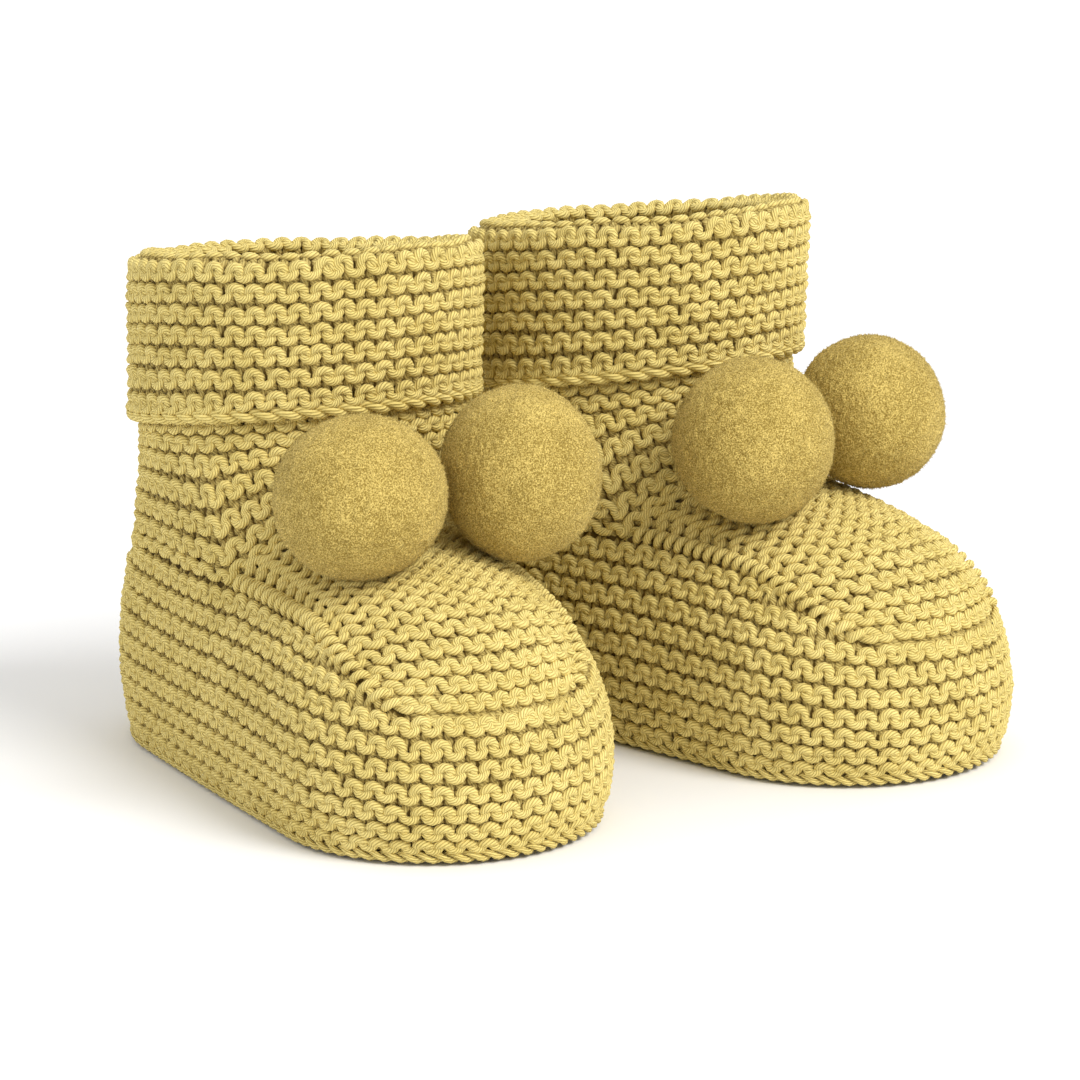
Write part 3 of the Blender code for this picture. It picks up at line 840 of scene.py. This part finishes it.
def band_rows():
    """The foot band's rows, each only as long as there is room for it under the instep."""
    stitches = np.arange(BAND_STITCHES)
    room = band_rows_at(OUTLINE_LENGTH * (stitches + 0.5) / BAND_STITCHES)

    def band_end(stitch):
        return band_rows_at(OUTLINE_LENGTH * stitch / BAND_STITCHES)

    low, _ = CORE_SHORT["foot_band"]
    seed = SEEDS["foot_band"]
    made = [core(band_surface, BAND_STITCHES, low, band_end, True)]
    for row in range(int(room.max()) + 1):
        for first, count, closed in runs(room >= row + ROW_ROOM):
            made.append(knit_row(band_surface, row, count, float(first), closed, seed))
    return made


def instep_rows():
    rows = 2 * INSTEP_RIDGES
    made = [level_core("instep", instep_surface, INSTEP_STITCHES, rows, False)]
    for row in range(rows + 1):
        made.append(knit_row(instep_surface, row, INSTEP_STITCHES, 0.0, False, SEEDS["instep"]))
    return made


def sole_rows():
    """The sole's rows, each fitted to the width of the oval."""
    rows = 2 * SOLE_RIDGES
    made = [level_core("sole", lambda s, r: sole_oval(s / SOLE_STITCHES, r), SOLE_STITCHES, rows,
                       False)]
    for row in range(1, rows):
        width = float(sole_half_width(float(row)))
        count = max(FEWEST_STITCHES, int(round(SOLE_STITCHES * width)))
        made.append(knit_row(lambda s, r, n=count: sole_oval(s / n, r), row, count, 0.0, False,
                             SEEDS["sole"], HIDDEN_DETAIL))
    return made


# ---------------------------------------------------------------- pompoms
def ball():
    """A fine round ball: its directions and its triangles."""
    made = bmesh.new()
    bmesh.ops.create_icosphere(made, subdivisions=POMPOM_SUBDIVISIONS, radius=1.0)
    verts = np.array([vert.co for vert in made.verts])
    faces = np.array([[vert.index for vert in face.verts] for face in made.faces])
    made.free()
    return verts, faces


BALL = ball()


def pompom_mesh(name, lowest, highest, seed):
    """A dense trimmed ball: finely uneven, with the ends of thousands of yarn fibres."""
    rng = np.random.default_rng(seed)
    lowest = np.array(lowest)
    highest = np.array(highest)
    facing, faces = BALL
    lumps = np.zeros(len(facing))
    for _ in range(LUMP_WAVES):
        wave = rng.normal(0.0, LUMP_TURNS, 3)
        lumps += np.sin(facing @ wave + rng.uniform(0.0, TAU)) / LUMP_SCALE
    half = (highest - lowest) / 2.0 - POMPOM_CLEARANCE
    reach = half * (1.0 + POMPOM_LUMPS * (lumps[:, None] - 0.5))
    grain = POMPOM_GRAIN * rng.standard_normal(len(facing))
    verts = (lowest + highest) / 2.0 + facing * (reach + grain[:, None])

    roots = rng.choice(len(facing), POMPOM_FIBRES, replace=False)
    heading = unit(facing[roots] + FIBRE_SPREAD * rng.standard_normal((POMPOM_FIBRES, 3)))
    side = unit(np.cross(heading, rng.standard_normal((POMPOM_FIBRES, 3))))
    other = np.cross(heading, side)
    length = rng.uniform(*FIBRE_LENGTH, POMPOM_FIBRES)[:, None]
    low = verts[roots] - FIBRE_ROOT * length * heading
    corners = [low + FIBRE_RADIUS * (math.cos(turn) * side + math.sin(turn) * other)
               for turn in (0.0, TAU / 3, 2 * TAU / 3)]
    fibres = np.stack(corners + [low + length * heading], 1)
    offset = len(verts) + 4 * np.arange(POMPOM_FIBRES)[:, None, None]
    fibre_faces = (offset + FIBRE_FACES).reshape(-1, 3)

    longitude = np.arctan2(facing[:, 1], facing[:, 0])[faces] / TAU + 0.5
    behind = longitude < longitude.max(1, keepdims=True) - 0.5
    longitude = np.where(behind, longitude + 1.0, longitude)
    latitude = np.arccos(np.clip(facing[:, 2], -1, 1))[faces] / math.pi
    ball_uv = np.stack([longitude * BALL_WIDTH, latitude * BALL_HEIGHT], -1).reshape(-1, 2)
    which = np.arange(POMPOM_FIBRES)
    cell = np.stack([which % FIBRE_CELLS, which // FIBRE_CELLS], -1)
    spots = (cell[:, None] + FIBRE_CORNERS) / FIBRE_CELLS
    spots = spots * (1.0, FIBRES_HEIGHT) + (0.0, FIBRES_FROM)
    fibre_uv = spots[:, FIBRE_FACES].reshape(-1, 2)

    points = np.concatenate([verts, fibres.reshape(-1, 3)])
    triangles = np.concatenate([faces, fibre_faces])
    return mesh_from(name, points, triangles.reshape(-1), np.arange(0, triangles.size, 3),
                     {"OFBake": [ball_uv, fibre_uv]})


# ---------------------------------------------------------------- materials
class Graph:
    """A short way to write a material's nodes."""

    def __init__(self, name):
        self.material = bpy.data.materials.new(name)
        self.material.use_nodes = True
        self.tree = self.material.node_tree
        self.shader = self.tree.nodes["Principled BSDF"]

    def node(self, kind, inputs=(), **settings):
        """A new node with its inputs, each a value or another node's output."""
        made = self.tree.nodes.new(kind)
        for key, value in settings.items():
            setattr(made, key, value)
        for key, value in dict(inputs).items():
            self.feed(made.inputs[key], value)
        return made

    def feed(self, socket, value):
        if isinstance(value, bpy.types.NodeSocket):
            self.tree.links.new(value, socket)
        else:
            socket.default_value = value

    def math(self, operation, first, second=0.0, third=0.0):
        made = self.node("ShaderNodeMath", {0: first, 1: second, 2: third}, operation=operation)
        return made.outputs[0]

    def noise(self, vector, scale, detail):
        inputs = {"Vector": vector, "Scale": scale, "Detail": detail, "Roughness": NOISE_ROUGHNESS}
        return self.node("ShaderNodeTexNoise", inputs).outputs["Fac"]

    def mix(self, share, first, second, blend="MIX"):
        """Two colours mixed. The node's inputs 6 and 7 and its output 2 are its colour ones."""
        made = self.node("ShaderNodeMix", data_type="RGBA", blend_type=blend)
        self.feed(made.inputs[0], share)
        self.feed(made.inputs[6], first)
        self.feed(made.inputs[7], second)
        return made.outputs[2]

    def finish(self, colour, height, distance, strength, roughness, sheen):
        """The material, with its colour and its bump of a given height fed to the shader."""
        inputs = {"Height": height, "Distance": distance, "Strength": strength}
        bump = self.node("ShaderNodeBump", inputs)
        self.feed(self.shader.inputs["Base Color"], colour)
        self.feed(self.shader.inputs["Normal"], bump.outputs[0])
        self.shader.inputs["Roughness"].default_value = roughness
        self.shader.inputs["Specular IOR Level"].default_value = SPECULAR
        self.shader.inputs["Sheen Weight"].default_value = sheen
        self.shader.inputs["Sheen Roughness"].default_value = SHEEN_ROUGHNESS
        self.shader.inputs["Sheen Tint"].default_value = SHEEN_TINT
        return self.material


def yarn_material(name):
    """Plied cotton-like yarn: strands that wind round it, with fine fibres along each strand."""
    graph = Graph(name)
    where = graph.node("ShaderNodeUVMap", uv_map="yarn").outputs[0]
    split = graph.node("ShaderNodeSeparateXYZ", {0: where})
    along, around = split.outputs[0], split.outputs[1]
    strand = graph.math("ADD", graph.math("MULTIPLY", around, float(PLIES)),
                        graph.math("MULTIPLY", along, PLY_TWIST))
    ply = graph.math("ABSOLUTE", graph.math("SINE", graph.math("MULTIPLY", strand, math.pi)))
    streak_at = graph.node("ShaderNodeCombineXYZ", {
        0: graph.math("MULTIPLY", strand, STREAKS_PER_PLY),
        1: graph.math("MULTIPLY", along, STREAKS_PER_METRE)})
    streak = graph.noise(streak_at.outputs[0], scale=1.0, detail=3.0)
    body = graph.node("ShaderNodeTexCoord").outputs["Object"]
    patch = graph.noise(body, PATCH_SCALE, detail=2.0)
    # painted shade: the yarn is darker in the grooves between its plies
    tone = graph.math("MULTIPLY", graph.math("POWER", ply, PLY_GROOVE_SHADE_POWER), PLY_GROOVE_SHADE)
    tone = graph.math("ADD", tone, graph.math("MULTIPLY", streak, STREAK_TONE))
    tone = graph.math("ADD", tone,
                      graph.math("MULTIPLY_ADD", patch, PATCH_TONE, PATCH_TONE_SHIFT))
    ramp = graph.node("ShaderNodeMapRange", {0: tone, 1: YARN_TONE_FROM, 2: YARN_TONE_TO})
    colour = graph.mix(ramp.outputs[0], YARN_DARK, YARN_LIGHT)
    # painted shade: yarn that lies deep inside the fabric is darkened
    level = graph.node("ShaderNodeAttribute", attribute_name="face_level").outputs["Fac"]
    depth = graph.math("ABSOLUTE", level)
    front = graph.node("ShaderNodeMapRange", {0: depth, 1: VALLEY_FROM, 2: VALLEY_TO},
                       interpolation_type="SMOOTHSTEP")
    valley = graph.mix(front.outputs[0], VALLEY_SHADE, UNSHADED)
    colour = graph.mix(1.0, colour, valley, "MULTIPLY")
    # painted shade: the sheet in the middle of each panel is dark brown
    is_shade_core = graph.math("LESS_THAN", around, CORE_FLAG / 2.0)
    colour = graph.mix(is_shade_core, colour, PAINTED_CORE_SHADE)
    height = graph.math("ADD", graph.math("POWER", ply, PLY_BUMP_POWER),
                        graph.math("MULTIPLY", streak, STREAK_BUMP))
    return graph.finish(colour, height, distance=0.00016, strength=0.9, roughness=0.85,
                        sheen=0.12)


def pompom_material(name):
    """Yarn ends seen on end: a very fine light and dark grain."""
    graph = Graph(name)
    body = graph.node("ShaderNodeTexCoord").outputs["Object"]
    grain = graph.noise(body, PILE_GRAIN_SCALE, detail=1.0)
    clump = graph.noise(body, PILE_CLUMP_SCALE, detail=2.0)
    patch = graph.noise(body, PILE_PATCH_SCALE, detail=2.0)
    tone = graph.math("ADD", graph.math("MULTIPLY", grain, GRAIN_TONE),
                      graph.math("MULTIPLY", clump, CLUMP_TONE))
    tone = graph.math("ADD", tone,
                      graph.math("MULTIPLY_ADD", patch, PILE_PATCH_TONE, PILE_PATCH_SHIFT))
    ramp = graph.node("ShaderNodeMapRange", {0: tone, 1: PILE_TONE_FROM, 2: PILE_TONE_TO})
    colour = graph.mix(ramp.outputs[0], POMPOM_DARK, POMPOM_LIGHT)
    return graph.finish(colour, grain, distance=0.00022, strength=0.8, roughness=0.95,
                        sheen=0.2)


KNIT = yarn_material("knit_yarn")
SEWING = yarn_material("sewing_yarn")
PILE = pompom_material("pompom_pile")


# ---------------------------------------------------------------- putting the pieces in place
def stand(side):
    """Where a bootie stands, from the CAD sole, which is symmetric about its own middle."""
    lowest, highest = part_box(side + "_sole")
    middle = (np.array(lowest) + np.array(highest)) / 2.0
    turn = TOE_OUT[side]
    along = (HEEL_CENTRE_Y + TOE_CENTRE_Y) / 2.0
    across = np.array([math.cos(turn), math.sin(turn), 0.0])
    back = np.array([-math.sin(turn), math.cos(turn), 0.0])
    ground = middle - along * back
    ground[2] = 0.0
    return np.stack([across, back, (0.0, 0.0, 1.0)]), ground


def add_piece(name, mesh, material, body, nodes):
    """A visible piece that rides on a body and stands for CAD nodes."""
    piece = bpy.data.objects.new(name, mesh)
    bpy.context.scene.collection.objects.link(piece)
    mesh.materials.append(material)
    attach(piece, body)
    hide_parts(*nodes)
    return piece


def place(tubes, side):
    """A bootie's yarns, moved to where it stands."""
    turn, ground = stand(side)
    return [(points @ turn + ground, *rest) for points, *rest in tubes]


PANELS = (
    ("cuff", cuff_rows, KNIT, "knit"),
    ("leg", leg_rows, KNIT, "knit"),
    ("foot_band", band_rows, KNIT, "knit"),
    ("instep", instep_rows, KNIT, "knit"),
    ("sole", sole_rows, KNIT, "knit"),
    ("cast_off_edge", cast_off, KNIT, "knit"),
    ("sole_seam", sole_seam, SEWING, "sewing_yarn"),
    ("instep_seam", instep_seam, SEWING, "sewing_yarn"),
    ("back_seam", back_seam, SEWING, "sewing_yarn"),
)


def split(tubes):
    """The yarns of a panel in groups small enough for one mesh each."""
    groups = [[]]
    faces = 0
    for yarn in tubes:
        if faces + 2 * len(yarn[1]) > MOST_TRIANGLES:
            groups.append([])
            faces = 0
        groups[-1].append(yarn)
        faces += 2 * len(yarn[1])
    return groups


def add_panels():
    for part, make, material, slot in PANELS:
        groups = split(make())
        for side in SIDES:
            for index, tubes in enumerate(groups):
                name = f"{side}_{part}_yarn" + (f"_{index + 1}" if index else "")
                mesh = build_mesh(name, place(tubes, side))
                add_piece(name, mesh, material, side + "_bootie", [f"{side}_{part}"])


def middle(node):
    """The middle of a CAD node's box."""
    lowest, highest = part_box(node)
    return (np.array(lowest) + np.array(highest)) / 2.0


def add_cord(name, line, outward, body, node):
    """A short two-strand cord along a line."""
    outward = np.broadcast_to(outward, line.shape)
    cord = twisted(line, outward, 2, STEM_COIL, STEM_RADIUS, STEM_TURNS, False)
    add_piece(name, build_mesh(name, cord), SEWING, body, [node])


def add_pompom(name, seed):
    """A pompom, the stem that it hangs from and the stitch that ties the stem to the ankle."""
    pile = pompom_mesh(name + "_pile", *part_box(name), seed)
    piece = add_piece(name + "_pile", pile, PILE, name, [name])
    anchor = middle(name + "_tie")
    heading = unit(middle(name) - anchor)
    half = np.linalg.norm(middle(name + "_stem") - anchor)
    share = np.linspace(STEM_START, 2.0 * half - STEM_END, STEM_SAMPLES)
    stem = anchor + share[:, None] * heading
    add_cord(name + "_stem_yarn", stem, UPWARD, name, name + "_stem")
    rise = np.linspace(-TIE_HALF, TIE_HALF, STEM_SAMPLES)
    tie = anchor + rise[:, None] * UPWARD
    add_cord(name + "_tie_yarn", tie, heading, name + "_tie", name + "_tie")


def add_pompoms():
    seed = SEEDS["pompom"]
    for side in SIDES:
        for which in ("outer", "inner"):
            add_pompom(f"{side}_{which}_pompom", seed)
            seed += 1


# ---------------------------------------------------------------- camera, light and floor
def camera_axes():
    """The camera's right, up and backward directions."""
    around, pitch, roll = CAMERA_AZIMUTH, CAMERA_PITCH, CAMERA_ROLL
    back = np.array([math.sin(around) * math.cos(pitch), -math.cos(around) * math.cos(pitch),
                     math.sin(pitch)])
    right = np.array([math.cos(around), math.sin(around), 0.0])
    up = np.cross(back, right)
    rolled_right = right * math.cos(roll) + up * math.sin(roll)
    rolled_up = -right * math.sin(roll) + up * math.cos(roll)
    return rolled_right, rolled_up, back


def add_camera():
    data = bpy.data.cameras.new("camera")
    data.lens = CAMERA_LENS
    data.sensor_width = CAMERA_SENSOR
    data.clip_start = CAMERA_NEAREST
    camera = bpy.data.objects.new("camera", data)
    right, up, back = camera_axes()
    matrix = np.eye(4)
    matrix[:3] = np.stack([right, up, back, CAMERA_PLACE], -1)
    camera.matrix_world = Matrix(matrix.tolist())
    bpy.context.scene.collection.objects.link(camera)
    bpy.context.scene.camera = camera


def add_sun(name, toward, spread, strength):
    data = bpy.data.lights.new(name, "SUN")
    data.angle = math.radians(spread)
    data.energy = strength
    lamp = bpy.data.objects.new(name, data)
    lamp.rotation_euler = Vector(toward).normalized().to_track_quat("Z", "Y").to_euler()
    bpy.context.scene.collection.objects.link(lamp)


def add_studio():
    """One soft key light, an even white world and a plain pale floor."""
    right, _, back = camera_axes()
    toward = back * KEY_BACK + right * KEY_RIGHT + KEY_UP * UPWARD
    add_sun("key", toward, KEY_SPREAD, KEY_STRENGTH)
    world = bpy.data.worlds.new("studio")
    world.use_nodes = True
    background = world.node_tree.nodes["Background"]
    background.inputs["Color"].default_value = WORLD_COLOUR
    background.inputs["Strength"].default_value = WORLD_STRENGTH
    bpy.context.scene.world = world

    mesh = bpy.data.meshes.new("floor")
    half = FLOOR_HALF
    corners = [(-half, -half, 0), (half, -half, 0), (half, half, 0), (-half, half, 0)]
    mesh.from_pydata(corners, [], [(0, 1, 2, 3)])
    floor = bpy.data.objects.new("floor", mesh)
    bpy.context.scene.collection.objects.link(floor)
    paint = bpy.data.materials.new("floor_paint")
    paint.use_nodes = True
    shader = paint.node_tree.nodes["Principled BSDF"]
    shader.inputs["Base Color"].default_value = FLOOR_COLOUR
    shader.inputs["Roughness"].default_value = FLOOR_ROUGHNESS
    mesh.materials.append(paint)


add_panels()
add_pompoms()
add_camera()
add_studio()
bpy.context.scene.view_settings.view_transform = "Standard"
